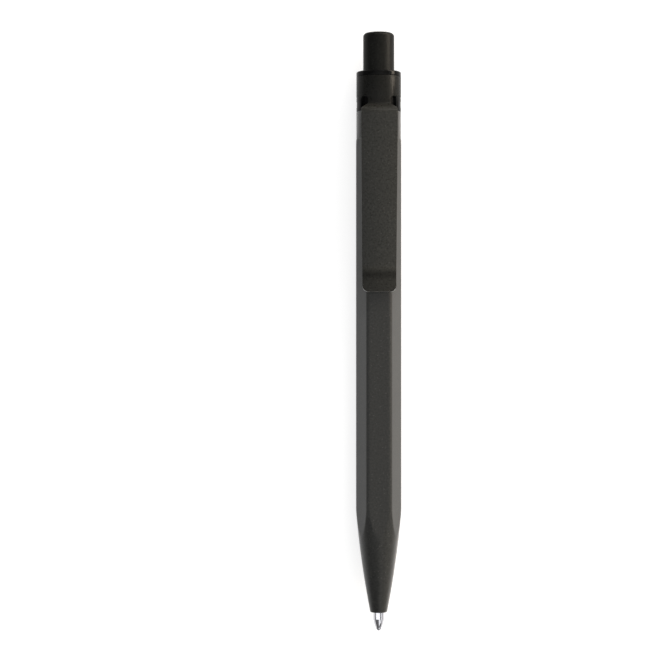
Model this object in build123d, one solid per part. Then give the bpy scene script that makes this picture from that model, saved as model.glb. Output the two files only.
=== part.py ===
from build123d import *
import os
from math import asin, cos, degrees, pi, sin, sqrt, tan

# A retractable ballpoint pen with a six-sided barrel, a steel spring clip and a push button.
# All sizes are in millimetres. Each piece is first made along its own axis: station 0 is the
# end of the nose, the stations rise towards the push button, and the clip is on the -Y side.
# At the end the pen is laid on its back flat, along Y, with the clip up.
# It is drawn as photographed: tip out and latched.

# Bought-in refill, a slim long one
refill_length = 106.8
refill_diameter = 3.0
refill_bore = 1.9
tip_diameter = 2.5
tip_cone_length = 2.35
tip_cone_end_diameter = 1.16
tip_sleeve_length = 10.5
tip_shank_length = 6.0
tip_channel_diameter = 0.7
ball_diameter = 1.0
ball_showing = 0.35
grease_length = 4.0
empty_tube_length = 17.6
ear_station = 27.0
ear_height = 1.5
ear_width = 0.8

# Click action
tip_reach = 4.4
click_travel = 5.5
press_overtravel = 1.2

# Barrel
across_flats = 9.53
corner_round = 1.11
barrel_bore = 7.2
seat_wall = 0.75
seat_depth = 5.9
round_length = 6.3
runout_length = 2.0
runout_radius = 6.0
corner_margin = 0.12
corner_swell = 0.12
nose_length = 25.4
nose_end_diameter = 4.05
nose_end_round = 0.25
nose_swell = 0.37
chamber_length = 13.0
chamber_taper_length = 4.0

# Mechanism housing
neck_height = 3.4
housing_wall = 0.65
sleeve_wall = 0.55
sleeve_tail = 2.0
rib_width = 1.5
rib_depth = 0.6
rib_slope = 0.8
rib_count = 4
window_count = 2
window_width = 5.2
window_height = 1.3
window_depth = 0.12
window_round = 0.3
tongue_room = 1.3

# Spring clip
clip_ring_height = 4.8
clip_thickness = 0.58
leaf_length = 45.8
leaf_top_width = 8.5
leaf_end_width = 7.85
leaf_end_round = 1.4
leaf_crown_radius = 18.0
tongue_width = 5.2
tongue_length = 2.0
bend_drop = 1.45
leaf_stand_off = 2.23
flare_length = 7.2
flare_rise = 1.17
root_bend_radius = 0.7
knee_bend_radius = 1.3
toe_bend_radius = 9.0
shoulder_round = 0.9

# End collar
collar_height = 1.2
collar_spigot_depth = 0.9
collar_edge_round = 0.3

# Push button
button_diameter = 7.3
button_reach = 9.3
button_top_wall = 1.4
button_edge_round = 0.9
button_flange_height = 1.0
button_flange_step = 0.25

# Cam pieces
driver_bore = 2.8
driver_top_room = 6.0
rotor_cup_depth = 2.5
rotor_lug_rise = 0.6
rotor_lug_height = 3.0
rotor_lug_width = 1.3
rotor_neck_height = 2.2
crown_tooth_count = 8
crown_tooth_height = 0.8

# Return spring
spring_wire = 0.4
spring_turns = 10

# Fits
fixed_clearance = 0.02
sliding_clearance = 0.05
guide_clearance = 0.07
seat_gap = 0.03
root_gap = 0.06
stop_clearance = 0.15
spring_room = 0.25
chamber_room = 0.3
tube_end_room = 0.4
flange_room = 0.1
rib_room = 0.13
overrun = 1.0

# Sizes that follow from the ones above
hexagon_sides = 6
side_angle = 360 / hexagon_sides
full_turn = 360
flat_reach = across_flats / 2
corner_reach = (flat_reach - corner_round) / cos(pi / hexagon_sides) + corner_round
button_radius = button_diameter / 2
flange_radius = button_radius + button_flange_step
housing_bore_radius = flange_radius + flange_room
clip_seat_radius = housing_bore_radius + housing_wall
clip_ring_inner_radius = clip_seat_radius + fixed_clearance
round_radius = clip_ring_inner_radius + clip_thickness
seat_radius = round_radius - seat_wall
spring_radius = refill_diameter / 2 + spring_room + spring_wire / 2
spring_reach = spring_radius + spring_wire / 2
chamber_radius = spring_reach + chamber_room
tip_end = -tip_reach
refill_tail = refill_length - tip_reach
cone_low = tip_end + ball_showing
cone_top = cone_low + tip_cone_length
tip_sleeve_top = cone_top + tip_sleeve_length
tip_shank_top = tip_sleeve_top + tip_shank_length
spring_seat_station = tip_sleeve_top - press_overtravel - tube_end_room
grease_top = refill_tail - empty_tube_length
ink_top = grease_top - grease_length
lug_low = refill_tail + rotor_lug_rise
lug_top = lug_low + rotor_lug_height
rib_low = lug_top + sliding_clearance
rib_top = rib_low + click_travel + stop_clearance
barrel_top = rib_top + seat_depth
neck_top = barrel_top + neck_height
ring_top = neck_top + clip_ring_height
collar_top = ring_top + collar_height
button_top = collar_top + button_reach
flange_top = ring_top - collar_spigot_depth - click_travel - stop_clearance
button_low = flange_top - button_flange_height
rotor_top = lug_top + rotor_neck_height
driver_top = button_top - button_top_wall - driver_top_room
arch_top = barrel_top - round_length
hexagon_top = arch_top - runout_length
pen_length = button_top + tip_reach
sleeve_radius = barrel_bore / 2 - fixed_clearance
sleeve_bore_radius = sleeve_radius - sleeve_wall
rib_inner_radius = sleeve_bore_radius - rib_depth
driver_radius = rib_inner_radius - rib_room


def turned(outline):
    """A solid turned about the pen's axis from a closed outline of (radius, station)."""
    return revolve(Plane.XZ * make_face(outline), Axis.Z)


def turned_polygon(points):
    return turned(Polyline(*points, close=True))


def tube(outer_radius, inner_radius, low, high):
    return turned_polygon([
        (inner_radius, low),
        (outer_radius, low),
        (outer_radius, high),
        (inner_radius, high),
    ])


def rod(radius, low, high):
    return turned_polygon([(0, low), (radius, low), (radius, high), (0, high)])


def around(piece, count, first=0):
    """Copies of one piece spread evenly about the axis."""
    return [Rot(0, 0, first + full_turn / count * k) * piece for k in range(count)]


def radial_block(points, inner, outer):
    """A prism whose (sideways, station) outline is pushed out along +X from inner to outer."""
    face = Plane.YZ * make_face(Polyline(*points, close=True))
    return Pos(inner, 0, 0) * extrude(face, amount=outer - inner)


def barrel():
    """Six-sided casing and nose in one moulding, round where it meets the neck."""
    nose_radius = nose_end_diameter / 2
    envelope_radius = corner_reach + corner_margin
    lip = (nose_radius, nose_end_round)
    shoulder = (envelope_radius, nose_length)
    blend_start = (envelope_radius, hexagon_top)
    blend_end = (round_radius, arch_top)
    envelope = turned([
        Line((0, 0), (nose_radius - nose_end_round, 0)),
        RadiusArc((nose_radius - nose_end_round, 0), lip, -nose_end_round),
        SagittaArc(lip, shoulder, -nose_swell),
        Line(shoulder, blend_start),
        SagittaArc(blend_start, blend_end, -corner_swell),
        Line(blend_end, (0, arch_top)),
        Line((0, arch_top), (0, 0)),
    ])
    hexagon = RegularPolygon(radius=flat_reach, side_count=hexagon_sides, major_radius=False)
    hexagon = fillet(hexagon.vertices(), corner_round)
    body = extrude(hexagon, amount=arch_top) & envelope

    # Each flat runs out upwards in a hollow arc, which leaves the arch at its top.
    half_length = runout_length / 2
    arc_centre = flat_reach + runout_radius
    arc_middle = (arc_centre - sqrt(runout_radius**2 - half_length**2), hexagon_top + half_length)
    arc_end = (arc_centre - sqrt(runout_radius**2 - runout_length**2), arch_top)
    outside = round_radius + overrun
    runout = make_face([
        ThreePointArc((flat_reach, hexagon_top), arc_middle, arc_end),
        Line(arc_end, (outside, arch_top)),
        Line((outside, arch_top), (outside, hexagon_top)),
        Line((outside, hexagon_top), (flat_reach, hexagon_top)),
    ])
    cutter = extrude(Plane.XZ * runout, amount=across_flats, both=True)
    collar = rod(round_radius, hexagon_top, barrel_top)
    collar -= around(cutter, hexagon_sides, side_angle / 2)
    body += collar

    # Inside: guide for the tip, spring chamber, refill space and the seat of the housing.
    guide_radius = tip_diameter / 2 + guide_clearance
    chamber_top = spring_seat_station + chamber_length
    taper_top = chamber_top + chamber_taper_length
    inside = turned_polygon([
        (0, -overrun),
        (guide_radius, -overrun),
        (guide_radius, spring_seat_station),
        (chamber_radius, spring_seat_station),
        (chamber_radius, chamber_top),
        (barrel_bore / 2, taper_top),
        (barrel_bore / 2, rib_top),
        (seat_radius, rib_top),
        (seat_radius, barrel_top + overrun),
        (0, barrel_top + overrun),
    ])
    return body - inside


def mechanism_housing():
    """Insert in the barrel's top: cam sleeve below, flush neck with windows, seat for the clip."""
    spigot_radius = seat_radius - fixed_clearance
    sleeve_low = lug_low - press_overtravel - sleeve_tail
    spigot_seat = ring_top - collar_spigot_depth
    body = turned_polygon([
        (sleeve_bore_radius, sleeve_low),
        (sleeve_radius, sleeve_low),
        (sleeve_radius, rib_top),
        (spigot_radius, rib_top),
        (spigot_radius, barrel_top),
        (round_radius, barrel_top),
        (round_radius, neck_top),
        (clip_seat_radius, neck_top),
        (clip_seat_radius, spigot_seat),
        (housing_bore_radius, spigot_seat),
        (housing_bore_radius, rib_top),
        (sleeve_bore_radius, rib_top),
    ])

    # Cam ribs: the rotor's lugs run between them and bear on their sloping ends.
    half_rib = rib_width / 2
    rib = radial_block(
        [(-half_rib, rib_low), (half_rib, rib_low + rib_slope), (half_rib, rib_top), (-half_rib, rib_top)],
        rib_inner_radius,
        sleeve_radius - sleeve_wall / 2,
    )
    body += around(rib, rib_count)

    # A window on each side of the neck, and the slot in front where the clip's tongue passes.
    window = Pos(0, 0, barrel_top + neck_height / 2) * extrude(
        Plane.YZ * RectangleRounded(window_width, window_height, window_round), amount=round_radius
    )
    body -= around(Pos(round_radius - window_depth, 0, 0) * window, window_count)
    slot_width = tongue_width + tongue_room * 2
    front = Box(slot_width, round_radius * 2, neck_height, align=(Align.CENTER, Align.MAX, Align.MIN))
    rind = tube(round_radius + overrun, clip_seat_radius, barrel_top, neck_top)
    return body - (rind & Pos(0, 0, barrel_top) * front)


def end_collar():
    """Ring that closes the housing, holds the clip's band down and keeps the button in."""
    bore_radius = button_radius + sliding_clearance
    spigot_low = ring_top - collar_spigot_depth
    ring = turned_polygon([
        (bore_radius, spigot_low),
        (clip_seat_radius, spigot_low),
        (clip_seat_radius, ring_top),
        (round_radius, ring_top),
        (round_radius, collar_top),
        (bore_radius, collar_top),
    ])
    rim = ring.edges().filter_by(GeomType.CIRCLE).group_by(Axis.Z)[-1].sort_by(SortBy.RADIUS)[-1]
    return fillet(rim, collar_edge_round)


def leaf_path():
    """Middle of the bent strip seen from the side, as (outward, station) points."""
    root = neck_top - root_gap
    end = neck_top - leaf_length
    toe_reach = flat_reach + seat_gap + toe_crown() + clip_thickness / 2
    return [
        Vector(round_radius - clip_thickness / 2, root),
        Vector(round_radius - clip_thickness / 2, root - tongue_length),
        Vector(toe_reach + leaf_stand_off, root - tongue_length - bend_drop),
        Vector(toe_reach, end + flare_length),
        Vector(toe_reach + flare_rise, end),
    ]


def toe_crown():
    """How far the crowned strip drops between its middle and the edges of the barrel's flat."""
    half_flat = flat_reach * tan(pi / hexagon_sides)
    return leaf_crown_radius - sqrt(leaf_crown_radius**2 - half_flat**2)


def moved_sideways(points, distance):
    """The same bent line a little to its left, or to its right where distance is negative."""
    ways = [(b - a).normalized() for a, b in zip(points, points[1:])]
    lefts = [Vector(-way.Y, way.X) for way in ways]
    corners = [
        p + (a + b) * (distance / (1 + a.dot(b))) for p, a, b in zip(points[1:], lefts, lefts[1:])
    ]
    return [points[0] + lefts[0] * distance, *corners, points[-1] + lefts[-1] * distance]


def leaf_face():
    """Side outline of the bent strip: its outer face, its inner face and the two ends."""
    half = clip_thickness / 2
    outer = moved_sideways(leaf_path(), half)
    inner = moved_sideways(leaf_path(), -half)
    outer_radii = [root_bend_radius - half, knee_bend_radius + half, toe_bend_radius - half]
    inner_radii = [root_bend_radius + half, knee_bend_radius - half, toe_bend_radius + half]
    return make_face([
        *FilletPolyline(*outer, radius=outer_radii).edges(),
        *FilletPolyline(*inner, radius=inner_radii).edges(),
        Line(outer[0], inner[0]),
        Line(outer[-1], inner[-1]),
    ])


def leaf_front():
    """Front outline of the strip: narrow tongue, wide top, slight taper, rounded end."""
    tongue = tongue_width / 2
    top = leaf_top_width / 2
    low = leaf_end_width / 2
    root = neck_top
    waist = root - tongue_length
    wide = waist - bend_drop / 2
    end = root - leaf_length
    half = [(tongue, root), (tongue, waist), (top, wide), (low, end)]
    other_half = [(-x, z) for x, z in reversed(half)]
    face = make_face(Polyline(*half, *other_half, close=True))
    face = fillet(face.vertices().group_by(Axis.Y)[0], leaf_end_round)
    shoulders = face.vertices().filter_by(lambda v: abs(v.Y - wide) < bend_drop / 4)
    return fillet(shoulders, shoulder_round)


def clip_ring():
    """The clip's band round the housing."""
    return tube(round_radius, clip_ring_inner_radius, neck_top, ring_top)


def clip_leaf():
    """The bent, slightly crowned leaf that springs off the barrel."""
    crown_axis = leaf_crown_radius - flat_reach
    sweep_angle = 2 * degrees(asin(leaf_top_width / leaf_crown_radius))
    side_plane = Plane((0, 0, 0), x_dir=(0, -1, 0), z_dir=(-1, 0, 0))
    turned_side = revolve(Pos(0, -crown_axis, 0) * (side_plane * leaf_face()), Axis.Z, sweep_angle)
    strip = Pos(0, crown_axis, 0) * Rot(0, 0, -sweep_angle / 2) * turned_side
    front = extrude(Plane.XZ * leaf_front(), amount=round_radius * 2)
    return strip & front


def push_button():
    """Hollow button with a flange that the end collar keeps in."""
    bore_radius = driver_radius + fixed_clearance
    ceiling = button_top - button_top_wall
    body = turned_polygon([
        (bore_radius, button_low),
        (flange_radius, button_low),
        (flange_radius, flange_top),
        (button_radius, flange_top),
        (button_radius, button_top),
        (0, button_top),
        (0, ceiling),
        (bore_radius, ceiling),
    ])
    rim = body.edges().filter_by(GeomType.CIRCLE).group_by(Axis.Z)[-1]
    return fillet(rim, button_edge_round)


def crown_notches(peak, points_up):
    """Notches that leave a ring of pointed teeth between the peak and the roots."""
    half_pitch = pi * driver_radius / crown_tooth_count
    way = 1 if points_up else -1
    root = peak - way * crown_tooth_height
    beyond = peak + way * crown_tooth_height
    notch = radial_block([(0, root), (half_pitch * 2, beyond), (-half_pitch * 2, beyond)], 0, round_radius)
    first = 0 if points_up else full_turn / crown_tooth_count / 2
    return around(notch, crown_tooth_count, first)


def cam_driver():
    """Toothed tube pressed into the button: it pushes the rotor."""
    low = rotor_top - crown_tooth_height + stop_clearance
    body = tube(driver_radius, driver_bore / 2, low, driver_top)
    return body - crown_notches(low, False)


def cam_rotor():
    """Turning cam on the refill's tail, with lugs that run between the housing's ribs."""
    cup_radius = refill_diameter / 2 + fixed_clearance
    cup_low = refill_tail - rotor_cup_depth
    body = turned_polygon([
        (cup_radius, cup_low),
        (driver_radius, cup_low),
        (driver_radius, rotor_top),
        (0, rotor_top),
        (0, refill_tail),
        (cup_radius, refill_tail),
    ])
    body -= crown_notches(rotor_top, True)
    half_lug = rotor_lug_width / 2
    lug = radial_block(
        [(-half_lug, lug_low), (half_lug, lug_low), (half_lug, lug_top), (-half_lug, lug_top - rib_slope)],
        driver_radius / 2,
        sleeve_bore_radius,
    )
    lug &= rod(sleeve_bore_radius - guide_clearance, lug_low, lug_top)
    core = rod(cup_radius, cup_low - overrun, refill_tail)
    return body + around(lug, rib_count, full_turn / rib_count / 2) - core


def refill_tube():
    """Ink tube with two crimped ears that carry the return spring."""
    body = tube(refill_diameter / 2, refill_bore / 2, tip_sleeve_top, refill_tail)
    ear_low = ear_station + tip_end
    ears = Pos(0, 0, ear_low) * Box(
        spring_reach * 2, ear_width, ear_height, align=(Align.CENTER, Align.CENTER, Align.MIN)
    )
    return body + (ears - rod(refill_diameter / 2, ear_low - overrun, ear_low + ear_height + overrun))


def refill_tip():
    """Metal point: cone, sleeve, shank in the tube, ink channel and socket of the ball."""
    shank_radius = refill_bore / 2 - fixed_clearance
    body = turned_polygon([
        (0, cone_low),
        (tip_cone_end_diameter / 2, cone_low),
        (tip_diameter / 2, cone_top),
        (tip_diameter / 2, tip_sleeve_top),
        (shank_radius, tip_sleeve_top),
        (shank_radius, tip_shank_top),
        (0, tip_shank_top),
    ])
    socket = Pos(0, 0, tip_end + ball_diameter / 2) * Sphere(ball_diameter / 2 + fixed_clearance)
    channel = rod(tip_channel_diameter / 2, tip_end + ball_diameter / 2, tip_shank_top + overrun)
    return body - socket - channel


def writing_ball():
    return Pos(0, 0, tip_end + ball_diameter / 2) * Sphere(ball_diameter / 2)


def ink_column():
    """Ink from the shank of the tip up to the grease that follows it."""
    return rod(refill_bore / 2 - fixed_clearance, tip_shank_top, ink_top)


def grease_plug():
    return rod(refill_bore / 2 - fixed_clearance, ink_top, grease_top)


def biarc(start, start_way, end, end_way):
    """Two arcs that leave start and reach end along the given unit directions."""
    chord = end - start
    sum_way = start_way + end_way
    a = sum_way.dot(sum_way) - 4
    b = -2 * chord.dot(sum_way)
    c = chord.dot(chord)
    reach = (-b - sqrt(b * b - 4 * a * c)) / (2 * a)
    near = start + start_way * reach
    far = end - end_way * reach
    middle = (near + far) / 2
    return [
        TangentArc(start, middle, tangent=start_way),
        TangentArc(middle, end, tangent=far - near),
    ]


def return_spring():
    """Coil spring between the nose's seat and the refill's ears."""
    low = spring_seat_station + spring_wire / 2 + seat_gap
    high = ear_station + tip_end - spring_wire / 2 - seat_gap
    rise = (high - low) / spring_turns
    climb = rise / (2 * pi)
    halves = 2

    def place(turn):
        angle = 2 * pi * turn
        return Vector(spring_radius * cos(angle), spring_radius * sin(angle), low + rise * turn)

    def heading(turn):
        angle = 2 * pi * turn
        return Vector(-spring_radius * sin(angle), spring_radius * cos(angle), climb).normalized()

    arcs = []
    for k in range(spring_turns * halves):
        begin = k / halves
        finish = (k + 1) / halves
        arcs += biarc(place(begin), heading(begin), place(finish), heading(finish))
    path = Wire(arcs)
    section = Plane(place(0), z_dir=heading(0)) * Circle(spring_wire / 2)
    print(f"spring: {spring_turns} turns, gap between turns {rise - spring_wire:.2f} mm")
    return sweep(section, path=path)


def laid_down(piece):
    """From the pen's own axis to the shared frame: on its back flat, along Y, clip up."""
    lift = max(round_radius, flat_reach)
    return Pos(0, tip_reach - pen_length / 2, lift) * Rot(-90, 0, 0) * piece


pieces = [
    barrel,
    mechanism_housing,
    end_collar,
    clip_ring,
    clip_leaf,
    push_button,
    cam_driver,
    cam_rotor,
    return_spring,
    refill_tube,
    refill_tip,
    writing_ball,
    ink_column,
    grease_plug,
]

os.makedirs("parts", exist_ok=True)
for make in pieces:
    name = make.__name__
    shape = laid_down(make())
    export_step(shape, f"parts/{name}.step")
    print(f"{name}: {shape.volume:.2f} mm3")
print(f"pen length {pen_length:.2f} mm, barrel {barrel_top:.2f} mm")
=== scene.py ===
# %% [markdown]
# # A click pen with a six-sided barrel
#
# The real pen is one dark, stone-filled moulding with a steel spring clip, a gloss black neck
# and a push button. Its construction model is already there, piece by piece, and lies on its
# back along Y with the clip up. This lesson dresses that model: each piece that shows is
# modelled again with the soft edges and the grain that a photograph catches, in the same place.

# %% Load the frame
import math

import bmesh
import bpy
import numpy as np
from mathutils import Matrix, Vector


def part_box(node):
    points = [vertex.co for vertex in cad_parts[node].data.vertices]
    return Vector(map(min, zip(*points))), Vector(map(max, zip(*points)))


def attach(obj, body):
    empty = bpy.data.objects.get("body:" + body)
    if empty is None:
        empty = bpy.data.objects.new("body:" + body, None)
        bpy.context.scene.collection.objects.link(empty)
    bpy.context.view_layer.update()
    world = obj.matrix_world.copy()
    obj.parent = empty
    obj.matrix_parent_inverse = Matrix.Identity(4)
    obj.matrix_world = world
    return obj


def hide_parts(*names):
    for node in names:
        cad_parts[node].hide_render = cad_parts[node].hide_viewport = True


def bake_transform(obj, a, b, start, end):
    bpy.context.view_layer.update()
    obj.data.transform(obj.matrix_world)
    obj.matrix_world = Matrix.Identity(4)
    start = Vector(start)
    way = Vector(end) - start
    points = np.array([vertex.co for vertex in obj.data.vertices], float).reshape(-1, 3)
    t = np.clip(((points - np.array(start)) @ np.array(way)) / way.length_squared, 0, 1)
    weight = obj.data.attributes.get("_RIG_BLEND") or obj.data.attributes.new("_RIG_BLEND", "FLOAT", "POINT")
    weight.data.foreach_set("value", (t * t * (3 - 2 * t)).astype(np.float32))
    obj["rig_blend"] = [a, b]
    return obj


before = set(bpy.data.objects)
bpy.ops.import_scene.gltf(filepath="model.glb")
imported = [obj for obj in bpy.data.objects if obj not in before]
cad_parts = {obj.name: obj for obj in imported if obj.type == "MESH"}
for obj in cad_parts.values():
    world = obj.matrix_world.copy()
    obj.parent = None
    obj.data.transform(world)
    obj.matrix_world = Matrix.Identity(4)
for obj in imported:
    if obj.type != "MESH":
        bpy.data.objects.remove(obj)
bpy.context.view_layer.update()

# %% [markdown]
# Sizes are easier to read in millimetres, counted along the pen from the end of the nose.
# Two numbers tie them to the frame: where the nose ends, and how high the pen's axis lies.

# %% Units and the pen's axis
MM = 0.001
nose_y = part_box("barrel")[0][1]
button_low, button_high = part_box("push_button")
axis_z = (button_low[2] + button_high[2]) / 2


def along(station):
    """Y in the frame of a station in millimetres from the nose's end."""
    return nose_y + station * MM


print(f"nose ends at y {nose_y / MM:.2f} mm, axis lies {axis_z / MM:.2f} mm high")

# %% [markdown]
# The picture was taken from straight above the clip, from about three pen lengths away, with the
# pen a little right of the middle. On a 36 mm sensor that takes a lens of about 105 mm.

# %% Camera
CAMERA_DISTANCE = 447.0
CAMERA_SIDEWAYS = -12.63
CAMERA_ALONG = 1.57
CAMERA_LENS = 105.2

bpy.ops.object.select_all(action="DESELECT")
bpy.ops.object.camera_add(
    location=(CAMERA_SIDEWAYS * MM, CAMERA_ALONG * MM, axis_z + CAMERA_DISTANCE * MM),
    rotation=(0, 0, 0),
)
camera = bpy.context.object
camera.name = "photo_camera"
camera.data.sensor_width = 36
camera.data.lens = CAMERA_LENS
camera.data.clip_start = 0.01
bpy.context.scene.camera = camera
bpy.context.scene.view_settings.view_transform = "Standard"
print(f"camera {CAMERA_DISTANCE:.0f} mm above the axis, lens {CAMERA_LENS} mm")

# %% [markdown]
# The table is a plain white sheet. Lamps alone would need to be far too bright for the pen before
# a sheet clips to white, so what the camera and shiny pieces see of it is helped by a little
# glow. The rest of the sheet's light is ordinary diffuse light, so the pen's shadow stays.

# %% Table
TABLE_SIZE = 30.0
TABLE_WHITE = 0.42
TABLE_GLOW = 0.72

bpy.ops.mesh.primitive_plane_add(size=TABLE_SIZE, location=(0, 0, 0))
table = bpy.context.object
table.name = "table"
table_paint = bpy.data.materials.new("white_table")
table_paint.use_nodes = True
nodes, links = table_paint.node_tree.nodes, table_paint.node_tree.links
nodes.clear()
sheet = nodes.new("ShaderNodeBsdfDiffuse")
sheet.inputs["Color"].default_value = (TABLE_WHITE, TABLE_WHITE, TABLE_WHITE, 1)
glow = nodes.new("ShaderNodeEmission")
rays = nodes.new("ShaderNodeLightPath")
camera_or_glossy = nodes.new("ShaderNodeMath")
camera_or_glossy.operation = "MAXIMUM"
or_transmission = nodes.new("ShaderNodeMath")
or_transmission.operation = "MAXIMUM"
strength = nodes.new("ShaderNodeMath")
strength.operation = "MULTIPLY"
strength.inputs[1].default_value = TABLE_GLOW
both = nodes.new("ShaderNodeAddShader")
out = nodes.new("ShaderNodeOutputMaterial")
links.new(rays.outputs["Is Camera Ray"], camera_or_glossy.inputs[0])
links.new(rays.outputs["Is Glossy Ray"], camera_or_glossy.inputs[1])
links.new(camera_or_glossy.outputs[0], or_transmission.inputs[0])
links.new(rays.outputs["Is Transmission Ray"], or_transmission.inputs[1])
links.new(or_transmission.outputs[0], strength.inputs[0])
links.new(strength.outputs[0], glow.inputs["Strength"])
links.new(sheet.outputs[0], both.inputs[0])
links.new(glow.outputs[0], both.inputs[1])
links.new(both.outputs[0], out.inputs["Surface"])
table.data.materials.append(table_paint)
print("table laid")

# %% [markdown]
# The light is soft. A lamp past the button lights the table without showing in the flats, a long
# warm one low on the right brightens the right-hand flat as in the picture, and one above it shows
# in the corner beside the front flat. They could all stand square to the pen, but then the polished
# point would mirror the warm lamp and vanish in the white, so that one stands further up the pen.
# Two dim strips overhead are what the front flat and the point's sleeve mirror, and a lamp past the
# tip draws the bright streak down its cone. Between strips and horizon the sky is dark, which
# leaves the darker bands along the corners.

# %% Lamps and sky
def soft_lamp(name, place, aim, size, power, colour=(1, 1, 1)):
    """A soft lamp of a width and a depth at one place, turned to face another."""
    bpy.ops.object.select_all(action="DESELECT")
    bpy.ops.object.light_add(type="AREA", location=place)
    lamp = bpy.context.object
    lamp.name = name
    lamp.data.shape = "RECTANGLE"
    lamp.data.size, lamp.data.size_y = size
    lamp.data.energy = power
    lamp.data.color = colour
    way = [a - p for a, p in zip(aim, place)]
    lamp.rotation_euler = Vector(way).to_track_quat("-Z", "Y").to_euler()
    print(f"{name}: {power} W from {place}")


MIDDLE = (0, 0, axis_z)
NOSE_END = (0, along(0), axis_z)
WARM = (1.0, 0.88, 0.73)
soft_lamp("lamp_past_button", (0.2, 0.9, 0.55), MIDDLE, (0.5, 0.5), 4)
soft_lamp("warm_lamp_right", (0.95, 0.66, 0.24), MIDDLE, (1.0, 0.36), 27, WARM)
soft_lamp("lamp_high_right", (0.9, -0.1, 0.55), MIDDLE, (1.2, 0.25), 1.7)
soft_lamp("strip_overhead", (0, 0.03, 0.8), (0, 0.03, 0), (3.4, 0.4), 5.4)
soft_lamp("strip_over_tip", (-1.2, -0.22, 0.8), (-1.2, -0.22, 0), (3.2, 0.2), 3.4)
soft_lamp("lamp_past_tip", (0.35, -0.68, 0.85), NOSE_END, (0.6, 0.55), 1.35)

SKY_STEPS = [(0.02, 0.45), (0.1, 0.17)]

sky = bpy.data.worlds.new("studio_sky")
bpy.context.scene.world = sky
sky.use_nodes = True
nodes, links = sky.node_tree.nodes, sky.node_tree.links
nodes.clear()
direction = nodes.new("ShaderNodeTexCoord")
split = nodes.new("ShaderNodeSeparateXYZ")
ramp = nodes.new("ShaderNodeValToRGB")
for stop, (height, brightness) in zip(ramp.color_ramp.elements, SKY_STEPS):
    stop.position = height
    stop.color = (brightness, brightness, brightness, 1)
background = nodes.new("ShaderNodeBackground")
out = nodes.new("ShaderNodeOutputWorld")
links.new(direction.outputs["Generated"], split.inputs[0])
links.new(split.outputs["Z"], ramp.inputs["Fac"])
links.new(ramp.outputs["Color"], background.inputs["Color"])
links.new(background.outputs[0], out.inputs["Surface"])
print("sky from", SKY_STEPS[0][1], "at the horizon to", SKY_STEPS[-1][1])

# %% [markdown]
# The barrel, the clip and the button share one dry, dark finish: a plastic or paint full of fine
# stone powder. Up close it is an olive grey with paler grains, a little uneven in gloss and very
# slightly rough to the touch. Noise on Object coordinates gives all three, at real sizes.
#
# The clip's colour isn't the same all along. A colour ramp along the pen paints shade into the leaf's
# toe, deepest in its concave bend, and makes the colour darker towards the band. A pocket's edge has
# rubbed the paint off round the end of the leaf. A painted picture could show that too, but a value
# kept on the mesh, named rubbed, stays sharp and moves with the leaf.

# %% Stone finish
def noise(nodes, links, place, scale, detail=3.0):
    """Noise with features of about one metre over scale, on Object coordinates."""
    texture = nodes.new("ShaderNodeTexNoise")
    texture.inputs["Scale"].default_value = scale
    texture.inputs["Detail"].default_value = detail
    links.new(place.outputs["Object"], texture.inputs["Vector"])
    return texture


def ramp_between(nodes, links, source, low, high, dark, light):
    """Colours from dark to light while a value goes from low to high."""
    ramp = nodes.new("ShaderNodeValToRGB")
    ramp.color_ramp.elements[0].position = low
    ramp.color_ramp.elements[0].color = (*dark, 1)
    ramp.color_ramp.elements[1].position = high
    ramp.color_ramp.elements[1].color = (*light, 1)
    links.new(source, ramp.inputs["Fac"])
    return ramp


def spread(nodes, links, source, low, high):
    """A value near one half turned into a value between low and high."""
    mapped = nodes.new("ShaderNodeMapRange")
    mapped.inputs["From Min"].default_value = 0.3
    mapped.inputs["From Max"].default_value = 0.7
    mapped.inputs["To Min"].default_value = low
    mapped.inputs["To Max"].default_value = high
    links.new(source, mapped.inputs["Value"])
    return mapped.outputs["Result"]


def relief(nodes, links, source, shader, strength, depth):
    """A bump of a depth in metres from a value between zero and one."""
    bump = nodes.new("ShaderNodeBump")
    bump.inputs["Strength"].default_value = strength
    bump.inputs["Distance"].default_value = depth
    links.new(source, bump.inputs["Height"])
    links.new(bump.outputs["Normal"], shader.inputs["Normal"])


def fresh_finish(name):
    """A new material with its nodes, links, shader and texture coordinates."""
    finish = bpy.data.materials.new(name)
    finish.use_nodes = True
    nodes, links = finish.node_tree.nodes, finish.node_tree.links
    return finish, nodes, links, nodes["Principled BSDF"], nodes.new("ShaderNodeTexCoord")


GRAIN_SCALE, PORE_SCALE, SPECK_SCALE = 2300, 6500, 1100
GRAIN_DARK_END, GRAIN_LIGHT_END = 0.3, 0.72
SPECK_CORE, SPECK_EDGE = 0.08, 0.2
PORE_STRENGTH, PORE_DEPTH = 0.35, 0.00003
SHEEN_ROUGHNESS = 0.4
BARE_STEEL = (0.56, 0.56, 0.54)
WHITE, BLACK = (1, 1, 1), (0, 0, 0)


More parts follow.
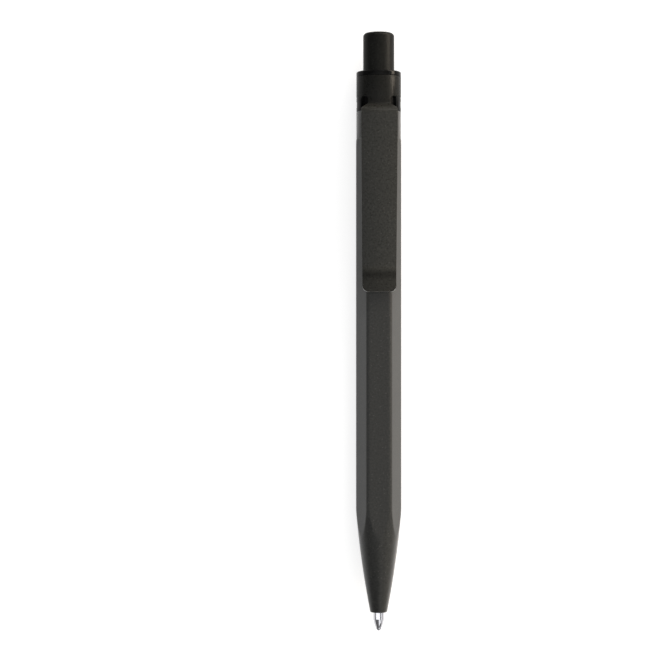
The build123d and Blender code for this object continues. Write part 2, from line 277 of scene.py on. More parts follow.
def painted_shade_and_rubbed_metal(nodes, links, place, shader, colour, shades):
    """A colour made darker along the pen, with bare metal where the piece is rubbed.

    The shades are pairs of a station and the share of the colour that is left there.
    """
    (low, _), (high, _) = shades[0], shades[-1]
    parts = nodes.new("ShaderNodeSeparateXYZ")
    share = nodes.new("ShaderNodeMapRange")
    share.inputs["From Min"].default_value = along(low)
    share.inputs["From Max"].default_value = along(high)
    # This ramp darkens the colour station by station; on the clip it paints shade into the leaf's toe and its bend.
    darkening_ramp = nodes.new("ShaderNodeValToRGB")
    stops = darkening_ramp.color_ramp.elements
    for station, _ in shades[1:-1]:
        stops.new((station - low) / (high - low))
    for stop, (_, depth) in zip(stops, shades):
        stop.color = (depth, depth, depth, 1)
    shaded = nodes.new("ShaderNodeVectorMath")
    shaded.operation = "MULTIPLY"
    links.new(place.outputs["Object"], parts.inputs[0])
    links.new(parts.outputs["Y"], share.inputs["Value"])
    links.new(share.outputs["Result"], darkening_ramp.inputs["Fac"])
    links.new(colour, shaded.inputs[0])
    links.new(darkening_ramp.outputs["Color"], shaded.inputs[1])
    rubbed = nodes.new("ShaderNodeAttribute")
    rubbed.attribute_name = "rubbed"
    bare = nodes.new("ShaderNodeMix")
    bare.data_type = "RGBA"
    bare.inputs["B"].default_value = (*BARE_STEEL, 1)
    links.new(rubbed.outputs["Fac"], bare.inputs["Factor"])
    links.new(shaded.outputs["Vector"], bare.inputs["A"])
    links.new(rubbed.outputs["Fac"], shader.inputs["Metallic"])
    return bare.outputs["Result"]


def stone_finish(name, dark, light, speck, gloss, specular, sheen=0.0, shades=None):
    """Dark powder-filled plastic or paint: mottled grain, pale specks, fine pores."""
    finish, nodes, links, shader, place = fresh_finish(name)
    shader.inputs["Specular IOR Level"].default_value = specular
    shader.inputs["Sheen Weight"].default_value = sheen
    shader.inputs["Sheen Roughness"].default_value = SHEEN_ROUGHNESS
    grain = noise(nodes, links, place, GRAIN_SCALE)
    body = ramp_between(nodes, links, grain.outputs["Fac"], GRAIN_DARK_END, GRAIN_LIGHT_END, dark, light)
    cells = nodes.new("ShaderNodeTexVoronoi")
    cells.inputs["Scale"].default_value = SPECK_SCALE
    links.new(place.outputs["Object"], cells.inputs["Vector"])
    specks = ramp_between(nodes, links, cells.outputs["Distance"], SPECK_CORE, SPECK_EDGE, WHITE, BLACK)
    mixed = nodes.new("ShaderNodeMix")
    mixed.data_type = "RGBA"
    mixed.inputs["B"].default_value = (*speck, 1)
    links.new(specks.outputs["Color"], mixed.inputs["Factor"])
    links.new(body.outputs["Color"], mixed.inputs["A"])
    colour = mixed.outputs["Result"]
    if shades:
        colour = painted_shade_and_rubbed_metal(nodes, links, place, shader, colour, shades)
    links.new(colour, shader.inputs["Base Color"])
    links.new(spread(nodes, links, grain.outputs["Fac"], *gloss), shader.inputs["Roughness"])
    pores = noise(nodes, links, place, PORE_SCALE, 2.0)
    relief(nodes, links, pores.outputs["Fac"], shader, PORE_STRENGTH, PORE_DEPTH)
    print("finish", name)
    return finish


stone_plastic = stone_finish(
    "grey_stone_plastic",
    dark=(0.0055, 0.0056, 0.0048),
    light=(0.0182, 0.0184, 0.0162),
    speck=(0.032, 0.0322, 0.029),
    gloss=(0.34, 0.42),
    specular=0.25,
    sheen=0.7,
)
# Shares of the clip's colour by station: from the leaf's end to 81.0 it is painted shade, deepest in the concave
# bend at 79 to 79.6, and from 116.5 on the colour is made darker towards the band.
TOE_SHADE_AND_BAND_DARKENING = [
    (75.2, 0.66),
    (76.6, 0.68),
    (77.6, 0.71),
    (78.2, 0.62),
    (79.0, 0.45),
    (79.6, 0.47),
    (80.3, 0.76),
    (81.0, 1.0),
    (116.5, 1.0),
    (119.5, 0.34),
]
painted_steel = stone_finish(
    "dark_painted_steel",
    dark=(0.0215, 0.0215, 0.0196),
    light=(0.035, 0.035, 0.032),
    speck=(0.046, 0.046, 0.042),
    gloss=(0.26, 0.34),
    specular=0.06,
    shades=TOE_SHADE_AND_BAND_DARKENING,
)
button_plastic = stone_finish(
    "dark_button_plastic",
    dark=(0.0055, 0.0055, 0.005),
    light=(0.0102, 0.0102, 0.0093),
    speck=(0.016, 0.016, 0.0146),
    gloss=(0.34, 0.42),
    specular=0.05,
)

# %% [markdown]
# The neck and the collar are a harder, polished black plastic. It is nearly black, and what shows
# is the gloss: a smooth surface with a faint waviness from the mould, and finger marks so slight
# that they only blur the reflections here and there.

# %% Gloss black finish
SMEAR_SCALE, WAVE_SCALE = 420, 900
WAVE_STRENGTH, WAVE_DEPTH = 0.12, 0.00002


def gloss_finish(name, dark, light, gloss, specular):
    """Polished black plastic: smears in its gloss and waves in its surface, both very faint."""
    finish, nodes, links, shader, place = fresh_finish(name)
    shader.inputs["Specular IOR Level"].default_value = specular
    smears = noise(nodes, links, place, SMEAR_SCALE)
    body = ramp_between(nodes, links, smears.outputs["Fac"], 0.35, 0.7, dark, light)
    links.new(body.outputs["Color"], shader.inputs["Base Color"])
    links.new(spread(nodes, links, smears.outputs["Fac"], *gloss), shader.inputs["Roughness"])
    waves = noise(nodes, links, place, WAVE_SCALE, 1.0)
    relief(nodes, links, waves.outputs["Fac"], shader, WAVE_STRENGTH, WAVE_DEPTH)
    print("finish", name)
    return finish


gloss_black = gloss_finish(
    "black_gloss_plastic",
    dark=(0.003, 0.003, 0.003),
    light=(0.006, 0.006, 0.006),
    gloss=(0.1, 0.2),
    specular=0.05,
)

# %% [markdown]
# The point of the refill is turned from nickel silver. A lathe leaves rings so fine that they only
# stretch the reflections, so the bump is a wave along the pen's axis, and the ball and the spring
# get the same steel look with their own colour.

# %% Metal finishes
TARNISH_SCALE = 700
RING_STRENGTH, RING_DEPTH = 0.15, 0.000004


def turned_metal(name, dull, bright, gloss, ring_scale):
    """Bright metal with a cloudy tarnish and fine rings from the lathe."""
    finish, nodes, links, shader, place = fresh_finish(name)
    shader.inputs["Metallic"].default_value = 1.0
    tarnish = noise(nodes, links, place, TARNISH_SCALE)
    body = ramp_between(nodes, links, tarnish.outputs["Fac"], 0.3, 0.7, dull, bright)
    links.new(body.outputs["Color"], shader.inputs["Base Color"])
    links.new(spread(nodes, links, tarnish.outputs["Fac"], *gloss), shader.inputs["Roughness"])
    rings = nodes.new("ShaderNodeTexWave")
    rings.bands_direction = "Y"
    rings.inputs["Scale"].default_value = ring_scale
    rings.inputs["Distortion"].default_value = 1.5
    links.new(place.outputs["Object"], rings.inputs["Vector"])
    relief(nodes, links, rings.outputs["Fac"], shader, RING_STRENGTH, RING_DEPTH)
    print("finish", name)
    return finish


nickel_silver = turned_metal("nickel_silver", (0.52, 0.52, 0.55), (0.63, 0.63, 0.66), (0.08, 0.16), 2200)
spring_steel = turned_metal("spring_steel", (0.42, 0.41, 0.40), (0.56, 0.55, 0.54), (0.2, 0.32), 900)
ball_carbide = turned_metal("ball_carbide", (0.50, 0.50, 0.53), (0.60, 0.60, 0.63), (0.05, 0.1), 3000)

# %% [markdown]
# Most of the pen is turned or moulded round. On paper such a piece is half an outline, so that is
# how it is drawn: one vertex is extruded from point to point, the loop is closed, and the spin
# operator carries it round the pen's axis. After a full turn the last copy lies on the first, so
# doubles are merged and the normals are pointed outwards again.

# %% The lathe
TURN_STEPS = 180
AXIS_POINT = (0, 0, axis_z)
AXIS_WAY = (0, 1, 0)
MERGE_DISTANCE = 1e-6


def start_fresh():
    """Leave edit mode and select nothing, so that operators act on the new piece alone."""
    if bpy.context.object and bpy.context.object.mode != "OBJECT":
        bpy.ops.object.mode_set(mode="OBJECT")
    bpy.ops.object.select_all(action="DESELECT")


def open_mesh():
    """The mesh that is open in edit mode."""
    return bmesh.from_edit_mesh(bpy.context.object.data)


def pick(kind, test):
    """Select only the vertices, edges or faces of the open mesh that pass a test."""
    bpy.ops.mesh.select_mode(type=kind)
    bpy.ops.mesh.select_all(action="DESELECT")
    shape = open_mesh()
    for part in {"VERT": shape.verts, "EDGE": shape.edges, "FACE": shape.faces}[kind]:
        part.select_set(test(part))
    shape.select_flush_mode()
    bmesh.update_edit_mesh(bpy.context.object.data)


def first_vertex(name, place):
    """A new piece that is still a single vertex, open in edit mode."""
    start_fresh()
    bpy.ops.mesh.primitive_plane_add(size=MM, location=(0, 0, 0))
    piece = bpy.context.object
    piece.name = piece.data.name = name
    bpy.ops.object.mode_set(mode="EDIT")
    bpy.ops.mesh.select_mode(type="VERT")
    bpy.ops.mesh.select_all(action="SELECT")
    bpy.ops.mesh.merge(type="CENTER")
    bpy.ops.transform.translate(value=place)
    return piece


def turned(name, outline, closed=True, steps=TURN_STEPS):
    """An outline of (radius, station) points in millimetres, spun about the pen's axis."""
    places = [(radius * MM, along(station), axis_z) for radius, station in outline]
    piece = first_vertex(name, places[0])
    for here, there in zip(places, places[1:]):
        step = [b - a for a, b in zip(here, there)]
        bpy.ops.mesh.extrude_vertices_move(TRANSFORM_OT_translate={"value": step})
    if closed:
        pick("VERT", lambda corner: len(corner.link_edges) == 1)
        bpy.ops.mesh.edge_face_add()
    bpy.ops.mesh.select_all(action="SELECT")
    bpy.ops.mesh.spin(steps=steps, angle=math.tau, center=AXIS_POINT, axis=AXIS_WAY)
    bpy.ops.mesh.select_all(action="SELECT")
    bpy.ops.mesh.remove_doubles(threshold=MERGE_DISTANCE)
    bpy.ops.mesh.normals_make_consistent(inside=False)
    bpy.ops.object.mode_set(mode="OBJECT")
    return piece


def quarter_round(radius, station, size, outward, upward, count=5):
    """Points that round a corner of an outline, from the side face to the end face."""
    middle_r, middle_s = radius - outward * size, station - upward * size
    turns = [math.pi / 2 * k / count for k in range(count + 1)]
    return [
        (middle_r + outward * size * math.cos(a), middle_s + upward * size * math.sin(a)) for a in turns
    ]


def soften(piece, width, segments=3, sharper_than=35):
    """Round every edge that is sharper than an angle, with an applied Bevel modifier."""
    start_fresh()
    bpy.context.view_layer.objects.active = piece
    edges = piece.modifiers.new("soft_edges", "BEVEL")
    edges.width = width * MM
    edges.segments = segments
    edges.limit_method = "ANGLE"
    edges.angle_limit = math.radians(sharper_than)
    bpy.ops.object.modifier_apply(modifier=edges.name)


def dress(piece, finish, sharper_than=40):
    """Finish and smooth shading of a piece, with its count of faces printed."""
    start_fresh()
    piece.select_set(True)
    bpy.context.view_layer.objects.active = piece
    bpy.ops.object.shade_smooth_by_angle(angle=math.radians(sharper_than))
    piece.data.materials.clear()
    piece.data.materials.append(finish)
    print(f"{piece.name}: {len(piece.data.polygons)} faces")


print("lathe ready")

# %% [markdown]
# The barrel starts as a turned blank a little wider than its corners. Then the flats are pressed
# in: seen from the end, every point is drawn in to a hexagon with rounded corners. Near the nose
# the cone is the smaller of the two, and towards the neck the flats run out in hollow arcs. Taking
# a soft minimum of cone and hexagon leaves the faint, rounded edge that the moulding has, where a
# boolean cut would leave a knife edge.

# %% Barrel
FLAT_REACH = 4.765
CORNER_ROUND = 1.11
CORNER_CENTRE = (FLAT_REACH - CORNER_ROUND) / math.cos(math.pi / 6)
BLANK_RADIUS = 5.45
ROUND_RADIUS = 5.25
NOSE_RADIUS, NOSE_LIP, NOSE_LENGTH, NOSE_SWELL = 2.025, 0.25, 25.4, 0.37
HEXAGON_TOP, ARCH_TOP, BARREL_TOP = 109.3, 111.3, 117.6
RUNOUT_RADIUS, CORNER_SWELL = 6.0, 0.12
SEAT_RADIUS, SEAT_LOW = 4.5, 111.7
BORE_RADIUS, TAPER_TOP = 3.6, 24.2
GUIDE_EDGE, TOP_EDGE_ROUND = 0.1, 0.12
CHAMBER_RADIUS, CHAMBER_LOW, CHAMBER_TOP = 2.45, 7.2, 20.2
GUIDE_RADIUS = 1.32
EDGE_SOFTNESS = 0.025
SEAM_GAP = 0.03


def bulged(start, end, share, swell):
    """A length between two others, swollen most half way."""
    return start + (end - start) * share + 4 * swell * share * (1 - share)


def blank_radius(station):
    """Radius of the turned blank: nose, straight part, run-out of the corners, round top."""
    if station < NOSE_LENGTH:
        share = (station - NOSE_LIP) / (NOSE_LENGTH - NOSE_LIP)
        return bulged(NOSE_RADIUS, BLANK_RADIUS, share, NOSE_SWELL)
    if station < HEXAGON_TOP:
        return BLANK_RADIUS
    if station < ARCH_TOP:
        share = (station - HEXAGON_TOP) / (ARCH_TOP - HEXAGON_TOP)
        return bulged(BLANK_RADIUS, ROUND_RADIUS, share, CORNER_SWELL)
    return ROUND_RADIUS


def hexagon_radius(off_flat):
    """Reach of the rounded hexagon at an angle from the middle of a flat."""
    off_corner = math.pi / 6 - abs(off_flat)
    sideways = CORNER_CENTRE * math.sin(off_corner)
    if sideways < CORNER_ROUND / 2:
        return CORNER_CENTRE * math.cos(off_corner) + math.sqrt(CORNER_ROUND**2 - sideways**2)
    return FLAT_REACH / math.cos(off_flat)


def soft_least(a, b):
    """The smaller of two lengths, with the crease between them rounded off."""
    least = min(a, b)
    return least - EDGE_SOFTNESS * math.log1p(math.exp(-abs(a - b) / EDGE_SOFTNESS))


def pressed_radius(off_flat, station):
    """Radius of the finished barrel at an angle from a flat and a station."""
    radius = soft_least(blank_radius(station), hexagon_radius(off_flat))
    if station > HEXAGON_TOP:
        rise = RUNOUT_RADIUS - math.sqrt(max(RUNOUT_RADIUS**2 - (station - HEXAGON_TOP) ** 2, 0))
        radius = max(radius, min(ROUND_RADIUS, (FLAT_REACH + rise) / math.cos(off_flat)))
    return radius


def stations(low, high, step):
    """Evenly spaced stations between two others, both included."""
    count = round((high - low) / step)
    return [low + (high - low) * k / count for k in range(count + 1)]


outer_stations = (
    stations(NOSE_LIP, NOSE_LENGTH, 0.25)
    + stations(NOSE_LENGTH, HEXAGON_TOP, 4.0)[1:]
    + stations(HEXAGON_TOP, ARCH_TOP, 0.1)[1:]
    + [ARCH_TOP + 2.0, BARREL_TOP - 0.25]
)
lip = quarter_round(NOSE_RADIUS, 0, NOSE_LIP, 1, -1)[::-1]
top_edge = quarter_round(ROUND_RADIUS, BARREL_TOP, TOP_EDGE_ROUND, 1, 1, 3)
barrel = turned(
    "barrel_shell",
    [(GUIDE_RADIUS, GUIDE_EDGE), (GUIDE_RADIUS + GUIDE_EDGE, 0)]
    + lip[:-1]
    + [(blank_radius(s), s) for s in outer_stations]
    + top_edge
    + [
        (SEAT_RADIUS, BARREL_TOP),
        (SEAT_RADIUS, SEAT_LOW),
        (BORE_RADIUS, SEAT_LOW),
        (BORE_RADIUS, TAPER_TOP),
        (CHAMBER_RADIUS, CHAMBER_TOP),
        (CHAMBER_RADIUS, CHAMBER_LOW),
        (GUIDE_RADIUS, CHAMBER_LOW),
    ],
)
pressed = 0
for point in barrel.data.vertices:
    station = (point.co.y - nose_y) / MM
    side, height = point.co.x / MM, (point.co.z - axis_z) / MM
    reach = math.hypot(side, height)
    if NOSE_LIP / 2 < station < ARCH_TOP and reach > blank_radius(station) - EDGE_SOFTNESS:
        angle = math.atan2(height, side)
        off_flat = (angle % (math.pi / 3)) - math.pi / 6
        share = pressed_radius(off_flat, station) / reach
        point.co.x *= share
        point.co.z = axis_z + (point.co.z - axis_z) * share
        pressed += 1
dress(barrel, stone_plastic, 50)
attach(barrel, "barrel")
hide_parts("barrel")
print(f"{pressed} points pressed on to the flats")

# %% [markdown]
# The clip is one strip of spring steel: a band round the neck, and a tongue that bends out of its
# lower edge and runs down as a slightly crowned leaf. It is modelled the way it is made. The band
# is turned, the faces on its lower rim at the front are extruded, and each new end is placed a
# little further along the bent line, with the width and the crown that the leaf has there. Last,
# the rounded edge at the leaf's end is marked as rubbed, for the paint to leave it bare.

# %% Clip
BAND_INNER, BAND_LOW, BAND_TOP = 4.67, 121.0, 125.8
STRIP = 0.58
ROOT_ANGLE = math.radians(40)
ROOT_ROUND = 0.7
TONGUE_HALF, LEAF_TOP_HALF, LEAF_END_HALF = 2.6, 4.25, 3.925
FLARE_START, FLARE_END = 1.55, 4.9
END_ROUND = 1.4
CROWN_AXIS = 13.235
BEND_CORNERS = [(4.96, BAND_LOW), (4.96, 118.94), (7.5265, 117.49), (5.2965, 81.2), (6.4665, 75.2)]
BEND_RADII = [0.7, 1.3, 3.0]
LONGEST_STEP = 0.9
ROOT_STEPS, END_STEPS = 6, 8
EDGE_ROUND = 0.15
RUBBED_TILT = (0.2, 0.93)


def smooth_share(value, low, high):
    """How far a value has come from low to high, eased at both ends."""
    share = min(max((value - low) / (high - low), 0), 1)
    return share * share * (3 - 2 * share)


def bent_line(corners, radii, arc_steps=10):
    """Points and directions along a line with rounded corners, as complex numbers."""
    points = [complex(*corner) for corner in corners]
    line = [(points[0], (points[1] - points[0]) / abs(points[1] - points[0]))]
    for before, corner, after, radius in zip(points, points[1:], points[2:], radii):
        way_in = (corner - before) / abs(corner - before)
        way_out = (after - corner) / abs(after - corner)
        turn = math.atan2((way_out / way_in).imag, (way_out / way_in).real)
        start = corner - way_in * radius * math.tan(abs(turn) / 2)
        centre = start + way_in * 1j * math.copysign(radius, turn)
        for k in range(arc_steps + 1):
            swing = complex(math.cos(turn * k / arc_steps), math.sin(turn * k / arc_steps))
            line.append((centre + (start - centre) * swing, way_in * swing))
    line.append((points[-1], line[-1][1]))
    return line


def filled_in(line, longest):
    """The same line with points added where two are further apart than the longest step."""
    full = [line[0]]
    for (a, way_a), (b, way_b) in zip(line, line[1:]):
        parts = max(1, math.ceil(abs(b - a) / longest))
        for k in range(1, parts + 1):
            way = way_a + (way_b - way_a) * k / parts
            full.append((a + (b - a) * k / parts, way / abs(way)))
    return full


def half_width(run, length, station):
    """Half the strip's width after a run from the band: root, tongue, flare, taper, end."""
    taper = (BEND_CORNERS[2][1] - station) / (BEND_CORNERS[2][1] - BEND_CORNERS[-1][1])
    leaf = LEAF_TOP_HALF + (LEAF_END_HALF - LEAF_TOP_HALF) * min(max(taper, 0), 1)
    width = TONGUE_HALF + (leaf - TONGUE_HALF) * smooth_share(run, FLARE_START, FLARE_END)
    if run < ROOT_ROUND:
        width += ROOT_ROUND - math.sqrt(ROOT_ROUND**2 - (ROOT_ROUND - run) ** 2)
    left = length - run
    if left < END_ROUND:
        width -= END_ROUND - math.sqrt(END_ROUND**2 - (END_ROUND - left) ** 2)
    return width


clip = turned(
    "spring_clip",
    [
        (BAND_INNER, BAND_LOW),
        (ROUND_RADIUS, BAND_LOW),
        (ROUND_RADIUS, BAND_TOP - SEAM_GAP),
        (BAND_INNER, BAND_TOP - SEAM_GAP),
    ],
)
bpy.ops.object.mode_set(mode="EDIT")


def in_front(part):
    """True for what lies on the band's lower rim, near the clip's middle."""
    place = part.co if isinstance(part, bmesh.types.BMVert) else part.calc_center_median()
    angle = math.atan2(place.x, place.z - axis_z)
    return abs(place.y - along(BAND_LOW)) < MERGE_DISTANCE and abs(angle) < ROOT_ANGLE + 0.001


pick("FACE", in_front)
shape = open_mesh()
across = shape.verts.layers.float.new("across")
outer = shape.verts.layers.float.new("outer")
for corner in shape.verts:
    reach = math.hypot(corner.co.x, corner.co.z - axis_z)
    corner[across] = corner.co.x / reach / math.sin(ROOT_ANGLE)
    corner[outer] = 1.0 if reach > (BAND_INNER + ROUND_RADIUS) / 2 * MM else -1.0

line = filled_in(bent_line(BEND_CORNERS, BEND_RADII), LONGEST_STEP)
root_steps = [ROOT_ROUND * (1 - math.cos(math.pi / 2 * k / ROOT_STEPS)) for k in range(1, ROOT_STEPS + 1)]
end_steps = [END_ROUND * (1 - math.cos(math.pi / 2 * k / END_STEPS)) for k in range(END_STEPS + 1)]
root = complex(*BEND_CORNERS[0])
end, end_way = line[-1]
middle_part = [
    (p, way) for p, way in line if abs(p - root) > ROOT_ROUND + 0.1 and abs(end - p) > END_ROUND + 0.1
]
line = (
    [(root - 1j * step, -1j) for step in root_steps]
    + middle_part
    + [(end - end_way * step, end_way) for step in reversed(end_steps)]
)
runs, here = [], root
for place, _ in line:
    runs.append((runs[-1] if runs else 0) + abs(place - here))
    here = place

for (place, way), run in zip(line, runs):
    bpy.ops.mesh.extrude_region_move(TRANSFORM_OT_translate={"value": (0, 0, 0)})
    shape = open_mesh()
    across = shape.verts.layers.float["across"]
    outer = shape.verts.layers.float["outer"]
    width = half_width(run, runs[-1], place.imag)
    axis_behind = CROWN_AXIS * smooth_share(run, 0, FLARE_END)
    for corner in shape.verts:
        if corner.select:
            spot = place + way * 1j * corner[outer] * STRIP / 2
            narrow = 1
            if corner[outer] < 0:
                narrow -= (1 - BAND_INNER / ROUND_RADIUS) * (1 - smooth_share(run, 0, 2))
            side = corner[across] * width * narrow
            height = math.sqrt((axis_behind + spot.real) ** 2 - side**2) - axis_behind
            corner.co = (side * MM, along(spot.imag), axis_z + height * MM)
    bmesh.update_edit_mesh(clip.data)
bpy.ops.mesh.select_all(action="SELECT")
bpy.ops.mesh.normals_make_consistent(inside=False)
bpy.ops.object.mode_set(mode="OBJECT")
for helper in ("across", "outer"):
    clip.data.attributes.remove(clip.data.attributes[helper])
soften(clip, EDGE_ROUND, 3, 45)
rubbed = clip.data.attributes.new("rubbed", "FLOAT", "POINT")
for corner in clip.data.vertices:
    at_end = corner.co.y < along(BEND_CORNERS[-1][1] + END_ROUND)
    rubbed.data[corner.index].value = float(at_end and RUBBED_TILT[0] < corner.normal.z < RUBBED_TILT[1])
dress(clip, painted_steel, 50)
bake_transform(clip, "barrel", "clip", start=(0, along(120.9), axis_z), end=(0, along(117.4), axis_z))
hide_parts("clip_ring", "clip_leaf")
print(f"leaf runs {runs[-1]:.1f} mm from the band")

# %% [markdown]
# Between barrel and clip a short neck of gloss black shows, the top of the insert that holds the
# click action. It has three windows, one on each side and one at the back: a thin raised frame
# round a sunk panel. The insert is turned in one piece, the windows' faces are found by their angle
# and place, and inset and pushed in. What lies beside a frame is drawn in, down to the seat of the
# clip's band, which leaves the dark gaps beside the tongue.

# %% Mechanism housing
NECK_RADIUS = ROUND_RADIUS - 0.04
NECK_LOW, NECK_TOP = BARREL_TOP + SEAM_GAP, BAND_LOW - SEAM_GAP
SLEEVE_OUTER, SLEEVE_BORE, SLEEVE_LOW = 3.58, 3.03, 99.8
HOUSING_BORE, CLIP_SEAT, CLIP_SEAT_TOP = 4.0, 4.65, 124.9
SPIGOT_RADIUS, SPIGOT_LOW = SEAT_RADIUS - 0.02, SEAT_LOW + 0.02
FRAME_LOW, FRAME_TOP = BARREL_TOP + 0.3, BAND_LOW - 0.4
FRAME_ANGLE = math.radians(41)
FRAME_WIDTH, PANEL_DEPTH = 0.6, 0.05
NECK_EDGE_ROUND = 0.1

housing = turned(
    "mechanism_neck",
    [
        (SLEEVE_BORE, SLEEVE_LOW),
        (SLEEVE_OUTER, SLEEVE_LOW),
        (SLEEVE_OUTER, SPIGOT_LOW),
        (SPIGOT_RADIUS, SPIGOT_LOW),
        (SPIGOT_RADIUS, NECK_LOW),
        (ROUND_RADIUS, NECK_LOW),
        (ROUND_RADIUS, FRAME_LOW),
        (ROUND_RADIUS, FRAME_TOP),
        (ROUND_RADIUS, NECK_TOP),
        (CLIP_SEAT, NECK_TOP),
        (CLIP_SEAT, CLIP_SEAT_TOP),
        (HOUSING_BORE, CLIP_SEAT_TOP),
        (HOUSING_BORE, SEAT_LOW),
        (SLEEVE_BORE, SEAT_LOW),
    ],
)


def off_frame(place):
    """Angle of a place from the middle of the nearest frame: one each side, one at the back."""
    above_side = math.atan2(place.z - axis_z, abs(place.x))
    return min(abs(above_side), above_side + math.pi / 2)


def in_frame(face):
    """True for a face of the neck's skin that lies in one of the windows."""
    place = face.calc_center_median()
    on_skin = math.hypot(place.x, place.z - axis_z) > (ROUND_RADIUS - 0.05) * MM
    return on_skin and off_frame(place) < FRAME_ANGLE and along(FRAME_LOW) < place.y < along(FRAME_TOP)


bpy.ops.object.mode_set(mode="EDIT")
pick("FACE", in_frame)
bpy.ops.mesh.inset(thickness=FRAME_WIDTH * MM, use_even_offset=True)
bpy.ops.mesh.extrude_region_shrink_fatten(TRANSFORM_OT_shrink_fatten={"value": -PANEL_DEPTH * MM})
bpy.ops.object.mode_set(mode="OBJECT")
for point in housing.data.vertices:
    reach = math.hypot(point.co.x, point.co.z - axis_z) / MM
    on_neck = along(NECK_LOW) - MERGE_DISTANCE < point.co.y < along(NECK_TOP) + MERGE_DISTANCE
    beside_frame = off_frame(point.co) > FRAME_ANGLE + 0.001
    above_or_below = not along(FRAME_LOW) - MERGE_DISTANCE < point.co.y < along(FRAME_TOP) + MERGE_DISTANCE
    if on_neck and reach > ROUND_RADIUS - 0.01 and (beside_frame or above_or_below):
        share = (CLIP_SEAT if beside_frame else NECK_RADIUS) / reach
        point.co.x *= share
        point.co.z = axis_z + (point.co.z - axis_z) * share
soften(housing, NECK_EDGE_ROUND, 3, 30)
dress(housing, gloss_black, 50)
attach(housing, "barrel")
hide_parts("mechanism_housing")

# %% [markdown]
# The collar closes the top of the barrel, and the button comes out of it. Both are plain turned
# shapes whose edges are rounded in the outline: the collar is the same gloss black as the neck,
# and the button has the stone finish, a shade darker than the barrel, and a barely crowned top.

# %% Collar and button
COLLAR_TOP, COLLAR_ROUND, COLLAR_BORE = 127.0, 0.3, 3.7
COLLAR_CHAMFER, COLLAR_INNER_ROUND = 0.08, 0.12
BUTTON_RADIUS, BUTTON_TOP, BUTTON_ROUND, BUTTON_CROWN = 3.65, 136.3, 0.9, 0.1
CROWN_MIDWAY = 1.5
FLANGE_RADIUS, FLANGE_LOW, FLANGE_TOP = 3.9, 118.25, 119.25
DRIVER_SOCKET, SOCKET_TOP = 2.32, 134.9

collar = turned(
    "end_ring",
    [
        (COLLAR_BORE, CLIP_SEAT_TOP),
        (CLIP_SEAT, CLIP_SEAT_TOP),
        (CLIP_SEAT, BAND_TOP),
        (ROUND_RADIUS - COLLAR_CHAMFER, BAND_TOP),
        (ROUND_RADIUS, BAND_TOP + COLLAR_CHAMFER),
        *quarter_round(ROUND_RADIUS, COLLAR_TOP, COLLAR_ROUND, 1, 1),
        *quarter_round(COLLAR_BORE, COLLAR_TOP, COLLAR_INNER_ROUND, -1, 1, 3)[::-1],
    ],
)
dress(collar, gloss_black, 40)
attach(collar, "barrel")
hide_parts("end_collar")

crown_start = BUTTON_TOP - BUTTON_CROWN
button = turned(
    "click_button",
    [
        (0, SOCKET_TOP),
        (DRIVER_SOCKET, SOCKET_TOP),
        (DRIVER_SOCKET, FLANGE_LOW),
        (FLANGE_RADIUS, FLANGE_LOW),
        (FLANGE_RADIUS, FLANGE_TOP),
        (BUTTON_RADIUS, FLANGE_TOP),
        *quarter_round(BUTTON_RADIUS, crown_start, BUTTON_ROUND, 1, 1, 8),
        (CROWN_MIDWAY, BUTTON_TOP - BUTTON_CROWN / 4),
        (0, BUTTON_TOP),
    ],
    closed=False,
)
dress(button, button_plastic, 40)
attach(button, "button")
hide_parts("push_button")

# %% [markdown]
# The refill's point is a cone on a polished sleeve, with a rolled lip that holds the ball. The
# sleeve goes up into the nose, and a thinner shank behind it sits in the ink tube.

# %% Point of the refill
TIP_RADIUS, CONE_LOW, CONE_TOP, CONE_END = 1.25, -4.05, -1.7, 0.6
TIP_SLEEVE_TOP, SHANK_RADIUS, SHANK_TOP = 8.8, 0.93, 14.8
SOCKET_RADIUS, CHANNEL_RADIUS = 0.52, 0.35
CONE_SWELL, CONE_STEPS, CONE_LIP, CONE_EDGE = 0.09, 8, 0.3, 0.06
BALL_CENTRE = -3.9
POINT_TURN_STEPS = 96
cone_run = CONE_TOP - CONE_LOW - CONE_LIP - CONE_EDGE
socket_floor = BALL_CENTRE + math.sqrt(SOCKET_RADIUS**2 - CHANNEL_RADIUS**2)
socket_lip = math.sqrt(SOCKET_RADIUS**2 - (CONE_LOW - BALL_CENTRE) ** 2)
cone_side = []
for share in [k / CONE_STEPS for k in range(CONE_STEPS + 1)]:
    cone_radius = bulged(CONE_END + 0.03, TIP_RADIUS - 0.02, share, CONE_SWELL)
    cone_side.append((cone_radius, CONE_LOW + CONE_LIP + share * cone_run))

point_of_refill = turned(
    "writing_point",
    [
        (CHANNEL_RADIUS, socket_floor),
        (SOCKET_RADIUS, BALL_CENTRE),
        (socket_lip, CONE_LOW),
        (CONE_END - 0.04, CONE_LOW),
        (CONE_END + 0.02, CONE_LOW + 0.12),
        *cone_side,
        (TIP_RADIUS, CONE_TOP + CONE_EDGE),
        (TIP_RADIUS, CONE_TOP + 0.1),
        (TIP_RADIUS, 1.6),
        (TIP_RADIUS, TIP_SLEEVE_TOP),
        (SHANK_RADIUS, TIP_SLEEVE_TOP),
        (SHANK_RADIUS, SHANK_TOP),
        (CHANNEL_RADIUS, SHANK_TOP),
    ],
    steps=POINT_TURN_STEPS,
)
dress(point_of_refill, nickel_silver, 30)
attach(point_of_refill, "refill")
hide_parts("refill_tip")

# %% [markdown]
# Inside the nose sits the return spring. A Screw modifier winds it: a small circle of wire is
# lifted by one pitch each turn. It joins the nose to the refill's ears, so it is blended between
# those two and shortens and stretches as the button moves.

# %% Return spring
SPRING_RADIUS, SPRING_WIRE, SPRING_TURNS = 1.95, 0.2, 10
SPRING_LOW, SPRING_TOP = 7.43, 22.37
WIRE_SIDES, STEPS_PER_TURN = 10, 28

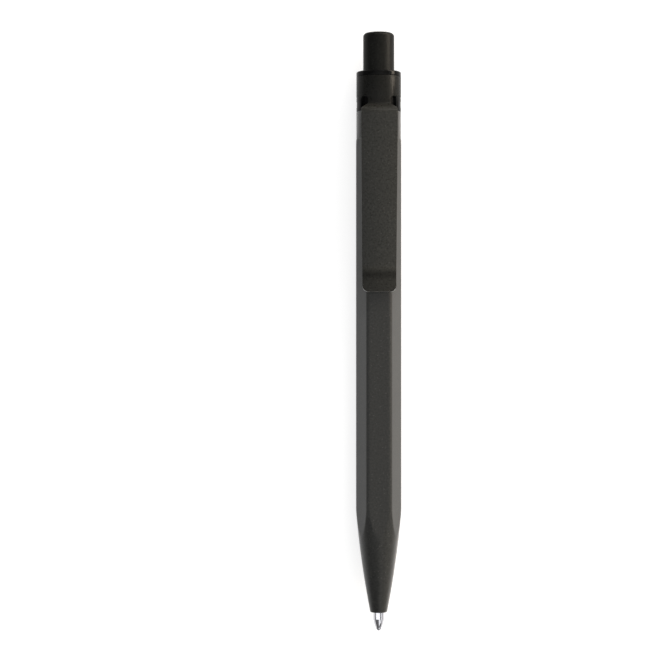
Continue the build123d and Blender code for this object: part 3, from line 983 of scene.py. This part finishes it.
start_fresh()
bpy.ops.mesh.primitive_circle_add(vertices=WIRE_SIDES, radius=SPRING_WIRE * MM, location=(0, 0, 0))
spring = bpy.context.object
spring.name = spring.data.name = "return_coil"
bpy.ops.object.mode_set(mode="EDIT")
bpy.ops.mesh.select_all(action="SELECT")
bpy.ops.transform.translate(value=(SPRING_RADIUS * MM, 0, 0))
bpy.ops.object.mode_set(mode="OBJECT")
winding = spring.modifiers.new("winding", "SCREW")
winding.axis = "Y"
winding.steps = winding.render_steps = STEPS_PER_TURN
winding.iterations = SPRING_TURNS
winding.screw_offset = (SPRING_TOP - SPRING_LOW) / SPRING_TURNS * MM
winding.use_merge_vertices = False
bpy.ops.object.modifier_apply(modifier=winding.name)
bpy.ops.object.mode_set(mode="EDIT")
bpy.ops.mesh.select_all(action="SELECT")
bpy.ops.transform.translate(value=(0, along(SPRING_LOW), axis_z))
pick("EDGE", lambda edge: edge.is_boundary)
bpy.ops.mesh.edge_face_add()
bpy.ops.mesh.select_all(action="SELECT")
bpy.ops.mesh.normals_make_consistent(inside=False)
bpy.ops.object.mode_set(mode="OBJECT")
dress(spring, spring_steel, 60)
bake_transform(spring, "barrel", "refill", start=(0, along(SPRING_LOW), axis_z), end=(0, along(SPRING_TOP), axis_z))
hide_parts("return_spring")
print("spring", [round(value / MM, 2) for value in spring.dimensions])

# %% [markdown]
# What stays out of sight keeps its construction shape and only gets a fitting finish: a milky tube
# with its ink and the plug of grease behind it, the white cams of the click action, and the ball.

# %% Hidden pieces
CLOUD_STRENGTH, CLOUD_DEPTH = 0.1, 0.00002
GLOSS_SPREAD = 0.05


def plain_moulding(name, dark, light, roughness, scale, see_through=0.0):
    """A plain moulded or filled piece with a slight cloud in its colour and gloss."""
    finish, nodes, links, shader, place = fresh_finish(name)
    shader.inputs["Transmission Weight"].default_value = see_through
    cloud = noise(nodes, links, place, scale)
    body = ramp_between(nodes, links, cloud.outputs["Fac"], 0.3, 0.7, dark, light)
    links.new(body.outputs["Color"], shader.inputs["Base Color"])
    gloss = spread(nodes, links, cloud.outputs["Fac"], roughness - GLOSS_SPREAD, roughness + GLOSS_SPREAD)
    links.new(gloss, shader.inputs["Roughness"])
    relief(nodes, links, cloud.outputs["Fac"], shader, CLOUD_STRENGTH, CLOUD_DEPTH)
    return finish


hidden = {
    "refill_tube": plain_moulding("refill_plastic", (0.70, 0.72, 0.74), (0.80, 0.81, 0.82), 0.35, 500, 0.4),
    "ink_column": plain_moulding("ink_paste", (0.006, 0.008, 0.03), (0.010, 0.013, 0.045), 0.25, 800),
    "grease_plug": plain_moulding("grease", (0.62, 0.55, 0.38), (0.72, 0.66, 0.48), 0.3, 900, 0.3),
    "cam_driver": plain_moulding("white_cam_plastic", (0.66, 0.66, 0.63), (0.76, 0.76, 0.73), 0.4, 700),
    "writing_ball": ball_carbide,
}
hidden["cam_rotor"] = hidden["cam_driver"]
for name, finish in hidden.items():
    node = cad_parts[name]
    node.data.materials.clear()
    node.data.materials.append(finish)
    print(name, "gets", finish.name)
